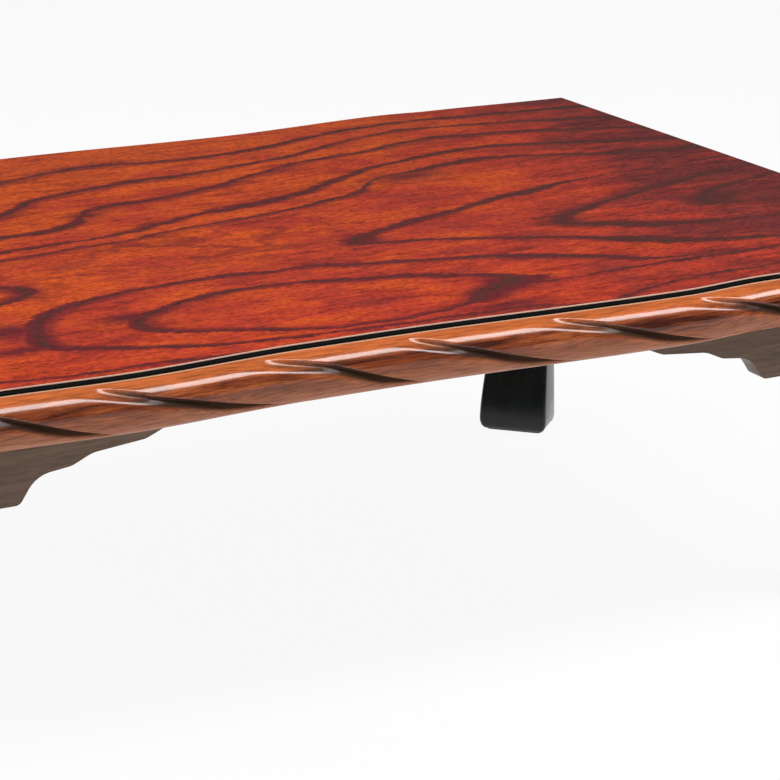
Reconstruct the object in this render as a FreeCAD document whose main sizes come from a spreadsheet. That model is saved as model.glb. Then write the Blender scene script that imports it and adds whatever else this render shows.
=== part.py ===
import FreeCAD, Part
import math
import os
import Sketcher

# A Japanese low table: a veneered top whose two long edges carry a heavy carved rope,
# on an apron frame with cloud-shaped brackets and four legs that curve in to the floor.
# +X runs along the table, -Y is the front, +Z is up and the floor is z = 0, in millimetres.

# Slow wave of the two long edges: place along X, and how far the edge stands out there.
FRONT_WAVE = ((-368, -0.6), (-262, 3.7), (-120, -4.8), (-55, -4.8), (217, 5.5), (298, -1.4))
BACK_WAVE = ((-74, 3.2), (127, -4.6), (316, 10.1), (368, 6))

SIZES = [
    # Whole table, measured between the arrises of the flat top
    ("table_height", 326),
    ("top_length", 1050),
    ("top_width", 688),
    # Layers of the top, from the face down
    ("veneer_thickness", 2.2),
    ("veneer_round", 1.8),
    ("core_thickness", 18.8),
    ("backing_thickness", 1),
    ("buildup_thickness", 20),
    # Solid lipping on the short ends
    ("lipping_thickness", 12),
    ("lipping_bulge", 4),
    # Black line sunk between the top and the rope
    ("inlay_width", 4.2),
    ("inlay_height", 4.5),
    ("inlay_drop", 5.2),
    # Rope carved on the long edges
    ("rope_radius", 20.7),
    ("rope_axis_out", 3.7),
    ("rope_axis_drop", 24.3),
    ("rope_strands", 4),
    ("rope_pitch", 127.5),
    ("rope_start", 18.4),
    ("rope_start_angle", 30),
    ("rope_groove_depth", 4.4),
    ("rope_groove_width", 13),
    ("rope_groove_top_angle", 66),
    ("rope_groove_low_angle", 74),
    ("rope_fade_angle", 45),
    # Loose tongue that lines the rope up with the core
    ("tongue_thickness", 6),
    ("tongue_depth", 8),
    ("tongue_drop", 12),
    # Gaps left for glue on curved faces and for parts that are slid together
    ("glue_line", 0.2),
    ("joint_gap", 0.2),
    # Apron rails
    ("apron_inset_end", 55),
    ("apron_inset_side", 40.5),
    ("rail_height", 37),
    ("rail_thickness", 20),
    # Cloud brackets under the rails, from the leg to the nose
    ("bracket_thickness", 20),
    ("bracket_flat_long", 98.7),
    ("bracket_flat_short", 50),
    ("bracket_lower_run", 13.4),
    ("bracket_middle_run", 28.5),
    ("bracket_upper_run", 16.5),
    ("bracket_nose_run", 43.3),
    ("bracket_nose_length", 21.7),
    ("bracket_lower_rise", 20.6),
    ("bracket_middle_rise", 3.4),
    ("bracket_upper_rise", 7.6),
    ("bracket_nose_rise", 4.3),
    ("bracket_tip_rise", 9.3),
    ("bracket_foot_round", 7),
    ("bracket_hollow_round", 25),
    ("bracket_nose_round", 20),
    # Legs, set on the diagonals: depths run in from the outer corner of the aprons
    ("leg_width", 56),
    ("leg_foot_width", 71),
    ("leg_ankle_width", 70),
    ("leg_shin_width", 65),
    ("leg_calf_width", 58),
    ("leg_foot_out", 41),
    ("leg_foot_depth", 43.5),
    ("leg_ankle_height", 30),
    ("leg_ankle_out", 40),
    ("leg_ankle_depth", 42.5),
    ("leg_shin_height", 72),
    ("leg_shin_out", 34),
    ("leg_shin_depth", 36),
    ("leg_calf_height", 140),
    ("leg_calf_out", 20),
    ("leg_calf_depth", 41),
    ("leg_knee_drop", 72),
    ("leg_knee_out", 10),
    ("leg_knee_depth", 62),
    ("leg_neck_drop", 26),
    ("leg_neck_setback", 1),
    ("leg_neck_depth", 49),
    ("leg_round", 4),
    ("pad_thickness", 2),
    ("pad_inset", 6),
    ("pad_round", 5),
    # Corner braces and the bolts that draw the legs against them
    ("brace_thickness", 20),
    ("brace_height", 34),
    ("bolt_radius", 4),
    ("bolt_in_leg", 42),
    ("bolt_past_nut", 4),
    ("washer_radius", 11),
    ("washer_thickness", 1.6),
    ("nut_across_corners", 15),
    ("nut_thickness", 6.5),
    ("fastener_gap", 0.1),
    # Wood screws: one kind in three lengths
    ("screw_radius", 2.1),
    ("screw_head_radius", 4),
    ("screw_head_height", 2.6),
    ("screw_tip", 4),
    ("brace_screw_length", 26),
    ("brace_screw_place", 104),
    ("brace_screw_sink", 5),
    ("rail_screw_length", 33),
    ("rail_screw_sink", 20),
    ("rail_screw_long_spacing", 165),
    ("rail_screw_short_place", 55),
    ("batten_screw_length", 30),
    ("batten_screw_inner", 85),
    ("batten_screw_outer", 225),
    # Battens that keep the top flat
    ("batten_place", 185),
    ("batten_width", 40),
    ("batten_height", 18),
    ("batten_end_gap", 2),
    ("batten_end_slope", 30),
    ("batten_end_height", 9),
    # Dowels between the rails and the brackets
    ("dowel_radius", 4),
    ("dowel_length", 24),
    ("dowel_first", 26),
    ("dowel_spacing", 50),
]

doc = FreeCAD.newDocument("low_table")
sheet = doc.addObject("Spreadsheet::Sheet", "Sizes")
for side, points in (("front", FRONT_WAVE), ("back", BACK_WAVE)):
    for index, (at, rise) in enumerate(points, 1):
        SIZES.append(("%s_wave_%d_at" % (side, index), at))
        SIZES.append(("%s_wave_%d_out" % (side, index), rise))
for row, (alias, size) in enumerate(SIZES, 1):
    sheet.set("A%d" % row, alias)
    sheet.set("B%d" % row, str(size))
    sheet.setAlias("B%d" % row, alias)
doc.recompute()

pieces = {}
V = FreeCAD.Vector
UP = V(0, 0, 1)


def number(expression):
    """The value of an expression on the sheet's cells."""
    return float(sheet.evalExpression(expression))


# Levels and planes that several pieces share, as expressions on the sheet
TOP = "Sizes.table_height"
CORE_TOP = "(Sizes.table_height - Sizes.veneer_thickness)"
MID_VENEER = "(Sizes.table_height - Sizes.veneer_thickness / 2)"
CORE_UNDER = "(%s - Sizes.core_thickness)" % CORE_TOP
UNDER_TOP = "(%s - Sizes.backing_thickness)" % CORE_UNDER
BUILDUP_UNDER = "(%s - Sizes.buildup_thickness)" % UNDER_TOP
RAIL_UNDER = "(%s - Sizes.rail_height)" % UNDER_TOP
END_X = "(Sizes.top_length / 2)"
CORE_X = "(Sizes.top_length / 2 - Sizes.lipping_thickness)"
EDGE_Y = "(Sizes.top_width / 2)"
FRAME_X = "(Sizes.top_length / 2 - Sizes.apron_inset_end)"
FRAME_Y = "(Sizes.top_width / 2 - Sizes.apron_inset_side)"
LEG_REACH = "((Sizes.leg_width / 2 + Sizes.joint_gap) * sqrt(2))"
NECK_OUT = "(Sizes.leg_width / 2 + Sizes.leg_neck_setback)"
LEG_INSIDE = "(%s + Sizes.leg_neck_depth)" % NECK_OUT
BRACE_FRONT = "(%s + Sizes.joint_gap)" % LEG_INSIDE
BRACE_REAR = "(%s + Sizes.brace_thickness)" % BRACE_FRONT
BRACKET_DROP = (
    "(Sizes.bracket_lower_rise + Sizes.bracket_middle_rise + Sizes.bracket_upper_rise"
    " + Sizes.bracket_nose_rise + Sizes.bracket_tip_rise)"
)

# The four sides and corners: the turn about Z that faces each one outwards
SIDE_TURN = {"front": 0, "right": 90, "back": 180, "left": 270}
CORNER_TURN = {"front_right": -135, "back_right": -45, "back_left": 45, "front_left": 135}
CORNER_SIGNS = {
    "front_right": (1, -1),
    "back_right": (1, 1),
    "back_left": (-1, 1),
    "front_left": (-1, -1),
}


def new_body(label):
    body = doc.addObject("PartDesign::Body", label)
    body.Label = label
    return body


def outline(body, name, role, corners, level=None):
    """A closed sketch, listed anticlockwise. Each corner is a pair of expressions, and
    a third one is the radius of an arc that bulges out on the way to the next corner."""
    sketch = body.newObject("Sketcher::SketchObject", name)
    planes = [plane for plane in body.Origin.OriginFeatures if plane.Role == role]
    sketch.AttachmentSupport = (planes[0], [""])
    sketch.MapMode = "FlatFace"
    if level:
        sketch.setExpression("AttachmentOffset.Base.z", level)
    points = [V(number(corner[0]), number(corner[1]), 0) for corner in corners]
    for index, start in enumerate(points):
        end = points[(index + 1) % len(points)]
        edge = Part.LineSegment(start, end)
        if len(corners[index]) == 3:
            radius = number(corners[index][2])
            chord = end - start
            inward = V(-chord.y, chord.x, 0).normalize()
            centre = (start + end) * 0.5 + inward * math.sqrt(radius**2 - chord.Length**2 / 4)
            angles = [math.atan2(point.y - centre.y, point.x - centre.x) for point in (start, end)]
            edge = Part.ArcOfCircle(Part.Circle(centre, UP, radius), *angles)
        sketch.addGeometry(edge, False)
    for index, corner in enumerate(corners):
        before = (index - 1) % len(corners)
        sketch.addConstraint(Sketcher.Constraint("Coincident", before, 2, index, 1))
        for kind, expression in zip(("DistanceX", "DistanceY"), corner):
            fixed = Sketcher.Constraint(kind, -1, 1, index, 1, number(expression))
            row = sketch.addConstraint(fixed)
            sketch.setExpression("Constraints[%d]" % row, expression)
        if len(corner) == 3:
            bow = Sketcher.Constraint("Radius", index, number(corner[2]))
            row = sketch.addConstraint(bow)
            sketch.setExpression("Constraints[%d]" % row, corner[2])
    return sketch


def rounded(left, right, low, high, radius):
    """Corners of an upright rectangle whose corners are quarter circles."""
    return (
        ("%s + %s" % (left, radius), low),
        ("%s - %s" % (right, radius), low, radius),
        (right, "%s + %s" % (low, radius)),
        (right, "%s - %s" % (high, radius), radius),
        ("%s - %s" % (right, radius), high),
        ("%s + %s" % (left, radius), high, radius),
        (left, "%s - %s" % (high, radius)),
        (left, "%s + %s" % (low, radius), radius),
    )


def pad(body, sketch, length, reverse=False):
    feature = body.newObject("PartDesign::Pad", sketch.Name + "_pad")
    feature.Profile = sketch
    feature.setExpression("Length", length)
    feature.Reversed = reverse


def round_edges(body, spots, radius):
    """Rounds the edges across a board that pass through the spots on its front."""
    base = body.Tip
    edges = []
    for edge in upright_edges(base.Shape, V(0, 1, 0)):
        middle = base.Shape.getElement(edge).Vertexes[0].Point
        if any(math.hypot(middle.x - spot.x, middle.z - spot.z) < gap for spot in spots):
            edges.append(edge)
    feature = body.newObject("PartDesign::Fillet", body.Name + "_round")
    feature.Base = (base, edges)
    feature.setExpression("Radius", radius)
    body.Tip = feature
    doc.recompute()


def upright_edges(shape, axis):
    """Names of the straight edges that run along an axis."""
    names = []
    for index, edge in enumerate(shape.Edges, 1):
        along = edge.Vertexes[-1].Point - edge.Vertexes[0].Point
        if along.Length and abs(along.normalize() * axis) > 0.999:
            names.append("Edge%d" % index)
    return names


def place(piece, x, y, z, turn):
    """Bind a piece's place to the sheet, turned about Z."""
    piece.Placement = FreeCAD.Placement(V(0, 0, 0), FreeCAD.Rotation(UP, turn))
    for axis, expression in zip("xyz", (x, y, z)):
        piece.setExpression("Placement.Base." + axis, expression)


def keep(label, piece):
    piece.Label = label
    pieces[label] = piece


def keep_shape(label, shape):
    feature = doc.addObject("Part::Feature", label)
    feature.Shape = shape
    keep(label, feature)


def keep_drilled(label, blank, cutters):
    """A piece with the bores for its fasteners cut out of it."""
    blank.Label = label + "_blank"
    bores = doc.addObject("Part::Feature", label + "_bores")
    bores.Shape = Part.makeCompound(cutters)
    cut = doc.addObject("Part::Cut", label)
    cut.Base = blank
    cut.Tool = bores
    keep(label, cut)


def rod(radius, start, direction, length):
    return Part.makeCylinder(radius, length, start, direction)


# Wood screw, drawn standing on its tip: a countersunk head on a plain shank
fastener_gap = number("Sizes.fastener_gap")


def screw(length, tip, direction):
    shank = number("Sizes.screw_radius")
    head = number("Sizes.screw_head_radius")
    neck = length - number("Sizes.screw_head_height")
    profile = (
        V(0, 0, 0),
        V(shank, 0, number("Sizes.screw_tip")),
        V(shank, 0, neck),
        V(head, 0, length),
        V(0, 0, length),
        V(0, 0, 0),
    )
    solid = Part.Face(Part.makePolygon(profile)).revolve(V(0, 0, 0), UP, 360)
    solid.Placement = FreeCAD.Placement(tip, FreeCAD.Rotation(UP, direction * -1))
    return solid


def screw_bore(length, tip, direction, sink):
    """The hole for a screw: a pilot for the shank and a wider mouth for the head."""
    back = direction * -1
    pilot = rod(number("Sizes.screw_radius") + fastener_gap, tip, back, length)
    neck = tip + back * (length - number("Sizes.screw_head_height") - fastener_gap)
    mouth_length = number("Sizes.screw_head_height") + fastener_gap + sink
    mouth = rod(number("Sizes.screw_head_radius") + fastener_gap, neck, back, mouth_length)
    return pilot.fuse(mouth)


# Screws up through the rails and battens into the core
under_top = number(UNDER_TOP)
rail_under = number(RAIL_UNDER)
frame_x = number(FRAME_X)
frame_y = number(FRAME_Y)
rail_middle = number("Sizes.rail_thickness / 2")
rail_screw_length = number("Sizes.rail_screw_length")
rail_screw_tip = rail_under + number("Sizes.rail_screw_sink") + rail_screw_length
long_spacing = number("Sizes.rail_screw_long_spacing")
short_place = number("Sizes.rail_screw_short_place")
rail_screw_tips = {"front": [], "back": [], "left": [], "right": []}
for across in (-long_spacing, 0, long_spacing):
    rail_screw_tips["front"].append(V(across, rail_middle - frame_y, rail_screw_tip))
    rail_screw_tips["back"].append(V(across, frame_y - rail_middle, rail_screw_tip))
for across in (-short_place, short_place):
    rail_screw_tips["left"].append(V(rail_middle - frame_x, across, rail_screw_tip))
    rail_screw_tips["right"].append(V(frame_x - rail_middle, across, rail_screw_tip))

batten_place = number("Sizes.batten_place")
batten_screw_length = number("Sizes.batten_screw_length")
batten_under = under_top - number("Sizes.batten_height")
batten_screw_places = (number("Sizes.batten_screw_inner"), number("Sizes.batten_screw_outer"))
batten_screw_tips = {"left": [], "right": []}
for label, x in (("left", -batten_place), ("right", batten_place)):
    for reach in batten_screw_places:
        for y in (-reach, reach):
            batten_screw_tips[label].append(V(x, y, batten_under + batten_screw_length))

rail_screws = []
top_bores = []
for tips in rail_screw_tips.values():
    for tip in tips:
        rail_screws.append(screw(rail_screw_length, tip, UP))
        top_bores.append(screw_bore(rail_screw_length, tip, UP, 0))
batten_screws = []
for tips in batten_screw_tips.values():
    for tip in tips:
        batten_screws.append(screw(batten_screw_length, tip, UP))
        top_bores.append(screw_bore(batten_screw_length, tip, UP, 0))
keep_shape("rail_screws", Part.makeCompound(rail_screws))
keep_shape("batten_screws", Part.makeCompound(batten_screws))

# The wavy long edges: each point of the wave is a crest, a hollow or a level stretch,
# so the line of the edge runs straight along the table there.
end_x = number(END_X)
edge_y = number(EDGE_Y)
top = number(TOP)
OUTWARD = {"front": -1, "back": 1}
wave_lines = {}
for side, points in (("front", FRONT_WAVE), ("back", BACK_WAVE)):
    places = [V(-end_x, 0, 0)]
    for index in range(1, len(points) + 1):
        at = number("Sizes.%s_wave_%d_at" % (side, index))
        places.append(V(at, number("Sizes.%s_wave_%d_out" % (side, index)), 0))
    places.append(V(end_x, 0, 0))
    poles = [places[0]]
    for start, end in zip(places, places[1:]):
        third = V((end.x - start.x) / 3, 0, 0)
        poles += [start + third, end - third]
    poles.append(places[-1])
    knots = [point.x for point in places]
    repeats = [4] + [2] * (len(knots) - 2) + [4]
    wave_lines[side] = Part.BSplineCurve()
    wave_lines[side].buildFromPolesMultsKnots(poles, repeats, knots, False, 3)


def edge_point(side, x, out, z):
    """A point beside a long edge, a distance out from the arris of the top."""
    wave = wave_lines[side].value(x).y
    return V(x, OUTWARD[side] * (edge_y + wave + out), z)


def edge_line(side, out, z, reach):
    """The line of a long edge between x = -reach and x = reach."""
    line = wave_lines[side].toShape(-reach, reach)
    if side == "front":
        line = line.mirror(V(0, 0, 0), V(0, 1, 0))
    return line.translated(V(0, OUTWARD[side] * (edge_y + out), z))


def slab(first, second, height):
    """A level board between two lines that run along the table."""
    start = Part.makeLine(first.firstVertex(True).Point, second.firstVertex(True).Point)
    end = Part.makeLine(first.lastVertex(True).Point, second.lastVertex(True).Point)
    face = Part.Face(Part.Wire(Part.__sortEdges__([first, end, second, start])))
    return face.extrude(UP * height)


# Top: a core board between two sheets, with grooves for the tongues in its long edges
core_x = number(CORE_X)
core_under = number(CORE_UNDER)
core_top = number(CORE_TOP)
veneer_thickness = number("Sizes.veneer_thickness")
core_thickness = number("Sizes.core_thickness")
backing_thickness = number("Sizes.backing_thickness")
glue = number("Sizes.glue_line")
gap = number("Sizes.joint_gap")
tongue_depth = number("Sizes.tongue_depth")
tongue_thickness = number("Sizes.tongue_thickness")
tongue_under = top - number("Sizes.tongue_drop") - tongue_thickness


def full_board(z, height, reach):
    front = edge_line("front", 0, z, reach)
    back = edge_line("back", 0, z, reach)
    return slab(front, back, height)


def edge_strip(side, inner, outer, z, height, reach):
    """A strip that follows a long edge between two distances out from the arris."""
    return slab(edge_line(side, inner, z, reach), edge_line(side, outer, z, reach), height)


core = full_board(core_under, core_thickness, core_x)
for side in OUTWARD:
    groove_under = tongue_under - gap
    groove_height = tongue_thickness + 2 * gap
    core = core.cut(edge_strip(side, -tongue_depth - gap, glue, groove_under, groove_height, core_x))
core_blank = doc.addObject("Part::Feature", "top_core_blank")
core_blank.Shape = core
keep_drilled("top_core", core_blank, top_bores)
backing_blank = doc.addObject("Part::Feature", "backing_sheet_blank")
backing_blank.Shape = full_board(under_top, backing_thickness, core_x)
keep_drilled("backing_sheet", backing_blank, top_bores)
veneer = full_board(core_top, veneer_thickness, end_x)
long_rims = []
for edge in veneer.Edges:
    if edge.BoundBox.ZMin > number(MID_VENEER) and edge.BoundBox.XLength > end_x:
        long_rims.append(edge)
keep_shape("top_veneer", veneer.makeFillet(number("Sizes.veneer_round"), long_rims))

# Rope edges: a half-round moulding whose strands wind down towards the right, seen from
# outside. The grooves between the strands fade out at the top and at the underside.
CURVE_STEPS = 20
STATION_COUNT = 53
stations = [end_x * (2 * index / (STATION_COUNT - 1) - 1) for index in range(STATION_COUNT)]
inlay_width = number("Sizes.inlay_width")
inlay_height = number("Sizes.inlay_height")
inlay_under = top - number("Sizes.inlay_drop") - inlay_height
rope_radius = number("Sizes.rope_radius")
rope_axis_out = number("Sizes.rope_axis_out")
rope_axis_z = top - number("Sizes.rope_axis_drop")
rope_groove_depth = number("Sizes.rope_groove_depth")
rope_groove_half = number("Sizes.rope_groove_width / 2")
rope_groove_top = math.radians(number("Sizes.rope_groove_top_angle"))
rope_groove_low = -math.radians(number("Sizes.rope_groove_low_angle"))
rope_fade = math.radians(number("Sizes.rope_fade_angle"))
strand_angle = 2 * math.pi / number("Sizes.rope_strands")
turn_per_length = strand_angle / number("Sizes.rope_pitch")
rope_start = number("Sizes.rope_start")
rope_start_angle = math.radians(number("Sizes.rope_start_angle"))
rope_top_angle = math.acos((inlay_width + glue - rope_axis_out) / rope_radius)
rope_low_angle = -math.acos((glue - rope_axis_out) / rope_radius)


def strand_radius(along, angle):
    """Distance of the carved surface from the rope's axis."""
    groove = rope_start_angle - turn_per_length * (along - rope_start)
    aside = rope_radius * math.remainder(angle - groove, strand_angle)
    hollow = math.exp(-((aside / rope_groove_half) ** 2))
    room = max(0, min(rope_groove_top - angle, angle - rope_groove_low))
    fade = (1 - math.cos(math.pi * min(room / rope_fade, 1))) / 2
    return rope_radius - rope_groove_depth * fade * hollow


def rope_section(side, x):
    along = -OUTWARD[side] * x
    carved = []
    for step in range(CURVE_STEPS + 1):
        angle = rope_top_angle + (rope_low_angle - rope_top_angle) * step / CURVE_STEPS
        radius = strand_radius(along, angle)
        out = rope_axis_out + radius * math.cos(angle)
        carved.append(edge_point(side, x, out, rope_axis_z + radius * math.sin(angle)))
    curve = Part.BSplineCurve()
    curve.interpolate(carved)
    seat = [
        carved[-1],
        edge_point(side, x, glue, tongue_under - gap),
        edge_point(side, x, tongue_depth + gap, tongue_under - gap),
        edge_point(side, x, tongue_depth + gap, tongue_under + tongue_thickness + gap),
        edge_point(side, x, glue, tongue_under + tongue_thickness + gap),
        edge_point(side, x, glue, inlay_under),
        edge_point(side, x, inlay_width + glue, inlay_under),
        carved[0],
    ]
    lines = [Part.makeLine(start, end) for start, end in zip(seat, seat[1:])]
    return Part.Wire([curve.toShape()] + lines)


for side in OUTWARD:
    sections = [rope_section(side, x) for x in stations]
    keep_shape("rope_edge_" + side, Part.makeLoft(sections, True, False))
    tongue = edge_strip(side, -tongue_depth, tongue_depth, tongue_under, tongue_thickness, core_x)
    keep_shape("edge_tongue_" + side, tongue)
    line = edge_strip(side, 0, inlay_width, inlay_under, inlay_height, end_x)
    keep_shape("inlay_line_" + side, line)

# Build-up strips that thicken the rim of the top under the backing sheet
buildup_under = number(BUILDUP_UNDER)
buildup_thickness = number("Sizes.buildup_thickness")
for side, sign in OUTWARD.items():
    wavy = edge_line(side, 0, buildup_under, core_x)
    ends = [V(reach, sign * frame_y, buildup_under) for reach in (-core_x, core_x)]
    inner = Part.makeLine(*ends)
    keep_shape("edge_buildup_" + side, slab(wavy, inner, buildup_thickness))
for side, turn, sign in (("left", 180, -1), ("right", 0, 1)):
    strip = doc.addObject("Part::Box", "edge_buildup_" + side)
    strip.setExpression("Length", "%s - %s" % (CORE_X, FRAME_X))
    strip.setExpression("Width", "2 * %s" % FRAME_Y)
    strip.setExpression("Height", "Sizes.buildup_thickness")
    place(strip, "%d * %s" % (sign, FRAME_X), "%d * %s" % (-sign, FRAME_Y), BUILDUP_UNDER, turn)
    keep("edge_buildup_" + side, strip)

# End lipping: a solid strip with a gently bowed face, under the veneer
LIPPING_HEIGHT = "(%s - %s)" % (CORE_TOP, BUILDUP_UNDER)
LIPPING_BOW = "((%s ^ 2 / 4 + Sizes.lipping_bulge ^ 2) / (2 * Sizes.lipping_bulge))" % LIPPING_HEIGHT
for side, turn, sign in (("left", 180, ""), ("right", 0, "-")):
    body = new_body("end_lipping_" + side)
    corners = (
        (CORE_X, BUILDUP_UNDER),
        (END_X, BUILDUP_UNDER, LIPPING_BOW),
        (END_X, CORE_TOP),
        (CORE_X, CORE_TOP),
    )
    sketch = outline(body, body.Name + "_section", "XZ_Plane", corners)
    pad(body, sketch, "Sizes.top_width", reverse=True)
    place(body, "0", sign + EDGE_Y, "0", turn)
    keep(body.Label, body)

# Dowels between the rails and the brackets, two to a bracket
SIDE_HALF = {
    "front": "(%s - %s)" % (FRAME_X, LEG_REACH),
    "back": "(%s - %s)" % (FRAME_X, LEG_REACH),
    "left": "(%s - %s)" % (FRAME_Y, LEG_REACH),
    "right": "(%s - %s)" % (FRAME_Y, LEG_REACH),
}
SIDE_PLACE = {
    "front": ("0", "-" + FRAME_Y),
    "back": ("0", FRAME_Y),
    "left": ("-" + FRAME_X, "0"),
    "right": (FRAME_X, "0"),
}
dowel_radius = number("Sizes.dowel_radius")
dowel_length = number("Sizes.dowel_length")
dowel_first = number("Sizes.dowel_first")
dowel_spacing = number("Sizes.dowel_spacing")
bracket_middle = number("Sizes.bracket_thickness / 2")
dowels = []
dowel_bores = {}
for side, half in SIDE_HALF.items():
    x, y = (number(expression) for expression in SIDE_PLACE[side])
    frame = FreeCAD.Placement(V(x, y, rail_under), FreeCAD.Rotation(UP, SIDE_TURN[side]))
    for hand in (-1, 1):
        bores = dowel_bores[side, hand] = []
        for reach in (dowel_first, dowel_first + dowel_spacing):
            foot = V(hand * (number(half) - reach), bracket_middle, -dowel_length / 2)
            start = frame.multVec(foot)
            dowels.append(rod(dowel_radius, start, UP, dowel_length))
            end = start - UP * fastener_gap
            bores.append(rod(dowel_radius + fastener_gap, end, UP, dowel_length + 2 * fastener_gap))
keep_shape("bracket_dowels", Part.makeCompound(dowels))

# Screws out of the corner braces into the rails, with room behind the heads to drive them
brace_screws = []
brace_screw_length = number("Sizes.brace_screw_length")
brace_screw_sink = number("Sizes.brace_screw_sink")
brace_screw_place = number("Sizes.brace_screw_place")
brace_screw_mouth = brace_screw_sink + 2 * number("Sizes.screw_head_radius")
brace_screw_level = under_top - number("Sizes.brace_height / 2")
brace_rear = number(BRACE_REAR) * math.sqrt(2) - brace_screw_place
brace_screw_bores = {}
for corner, (sign_x, sign_y) in CORNER_SIGNS.items():
    along = V(-sign_x, 0, 0)
    across = V(0, -sign_y, 0)
    origin = V(sign_x * frame_x, sign_y * frame_y, brace_screw_level)
    bores = brace_screw_bores[corner] = []
    for run, reach in ((along, across), (across, along)):
        depth = brace_rear - brace_screw_sink - brace_screw_length
        tip = origin + run * brace_screw_place + reach * depth
        brace_screws.append(screw(brace_screw_length, tip, reach * -1))
        bores.append(screw_bore(brace_screw_length, tip, reach * -1, brace_screw_mouth))
keep_shape("brace_screws", Part.makeCompound(brace_screws))

# Apron rails: their ends are cut at 45 degrees to close on the sides of the legs
rail_screw_sink = number("Sizes.rail_screw_sink")
for side, half in SIDE_HALF.items():
    body = new_body("apron_%s_body" % side)
    inner = "(%s - Sizes.rail_thickness)" % half
    corners = (
        ("-" + half, "0"),
        (half, "0"),
        (inner, "Sizes.rail_thickness"),
        ("-" + inner, "Sizes.rail_thickness"),
    )
    sketch = outline(body, body.Name + "_plan", "XY_Plane", corners)
    pad(body, sketch, "Sizes.rail_height")
    place(body, *SIDE_PLACE[side], RAIL_UNDER, SIDE_TURN[side])
    bores = dowel_bores[side, -1] + dowel_bores[side, 1]
    for tip in rail_screw_tips[side]:
        bores.append(screw_bore(rail_screw_length, tip, UP, rail_screw_sink))
    for corner, near in brace_screw_bores.items():
        if side in corner.split("_"):
            bores = bores + near
    keep_drilled("apron_" + side, body, bores)

# Cloud brackets: a long foot at the leg, then two ogee steps up to a rounded nose
HANDS = {
    ("front", -1): "front_left",
    ("front", 1): "front_right",
    ("back", -1): "back_right",
    ("back", 1): "back_left",
    ("left", -1): "left_back",
    ("left", 1): "left_front",
    ("right", -1): "right_front",
    ("right", 1): "right_back",
}
STEPS = (
    ("Sizes.bracket_lower_run", "Sizes.bracket_lower_rise"),
    ("Sizes.bracket_middle_run", "Sizes.bracket_middle_rise"),
    ("Sizes.bracket_upper_run", "Sizes.bracket_upper_rise"),
    ("Sizes.bracket_nose_run", "Sizes.bracket_nose_rise"),
    ("Sizes.bracket_nose_length", "Sizes.bracket_tip_rise"),
)
for (side, hand), name in HANDS.items():
    body = new_body("bracket_%s_body" % name)
    flat = "Sizes.bracket_flat_long" if side in ("front", "back") else "Sizes.bracket_flat_short"
    half = SIDE_HALF[side]
    reach = "(%s - %s)" % (half, flat)
    drop = BRACKET_DROP
    corners = [(half, "0"), (half, "-" + drop), (reach, "-" + drop)]
    for run, rise in STEPS:
        reach = "(%s - %s)" % (reach, run)
        drop = "(%s - %s)" % (drop, rise)
        corners.append((reach, "-" + drop))
    corners = [("%d * %s" % (hand, x), z) for x, z in corners]
    sketch = outline(body, body.Name + "_face", "XZ_Plane", corners)
    pad(body, sketch, "Sizes.bracket_thickness", reverse=True)
    outer = "%d * %s" % (hand, half)
    inner = "%d * (%s - Sizes.bracket_thickness)" % (hand, half)
    waste = ((outer, "0"), (outer, "Sizes.bracket_thickness"), (inner, "Sizes.bracket_thickness"))
    mitre = body.newObject("PartDesign::Pocket", body.Name + "_mitre")
    mitre.Profile = outline(body, body.Name + "_waste", "XY_Plane", waste)
    mitre.Type = "ThroughAll"
    doc.recompute()
    foot, lower_hollow, lower_nose, upper_hollow, upper_nose = (
        V(number(x), 0, number(z)) for x, z in corners[2:-1]
    )
    round_edges(body, (foot,), "Sizes.bracket_foot_round")
    round_edges(body, (lower_hollow, upper_hollow), "Sizes.bracket_hollow_round")
    round_edges(body, (lower_nose, upper_nose), "Sizes.bracket_nose_round")
    place(body, *SIDE_PLACE[side], RAIL_UNDER, SIDE_TURN[side])
    keep_drilled("bracket_" + name, body, dowel_bores[side, hand])

# Legs: sawn to a knee under the apron, drawn in to the ankle and spread at the foot.
# Braces: boards across the corners behind the legs. Pads: felt under the feet.
bolt_radius = number("Sizes.bolt_radius")
bolt_level = under_top - number("Sizes.brace_height / 2")
bolt_start = number("%s - Sizes.bolt_in_leg" % LEG_INSIDE)
washer_start = number(BRACE_REAR)
washer_thickness = number("Sizes.washer_thickness")
nut_thickness = number("Sizes.nut_thickness")
bolt_end = washer_start + washer_thickness + nut_thickness + number("Sizes.bolt_past_nut")
LEG_SECTIONS = (
    ("Sizes.pad_thickness", "Sizes.leg_foot_width", "Sizes.leg_foot_out", "Sizes.leg_foot_depth"),
    ("Sizes.leg_ankle_height", "Sizes.leg_ankle_width", "Sizes.leg_ankle_out", "Sizes.leg_ankle_depth"),
    ("Sizes.leg_shin_height", "Sizes.leg_shin_width", "Sizes.leg_shin_out", "Sizes.leg_shin_depth"),
    ("Sizes.leg_calf_height", "Sizes.leg_calf_width", "Sizes.leg_calf_out", "Sizes.leg_calf_depth"),
    (
        "%s - Sizes.leg_knee_drop" % UNDER_TOP,
        "Sizes.leg_width",
        "Sizes.leg_knee_out",
        "Sizes.leg_knee_depth",
    ),
    ("%s - Sizes.leg_neck_drop" % UNDER_TOP, "Sizes.leg_width", NECK_OUT, "Sizes.leg_neck_depth"),
)


def leg_section(body, name, level, width, out, depth):
    half = "%s / 2" % width
    inside = "-(%s + %s)" % (out, depth)
    corners = rounded("-" + half, half, inside, "-" + out, "Sizes.leg_round")
    return outline(body, name, "XY_Plane", corners, level)


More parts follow.
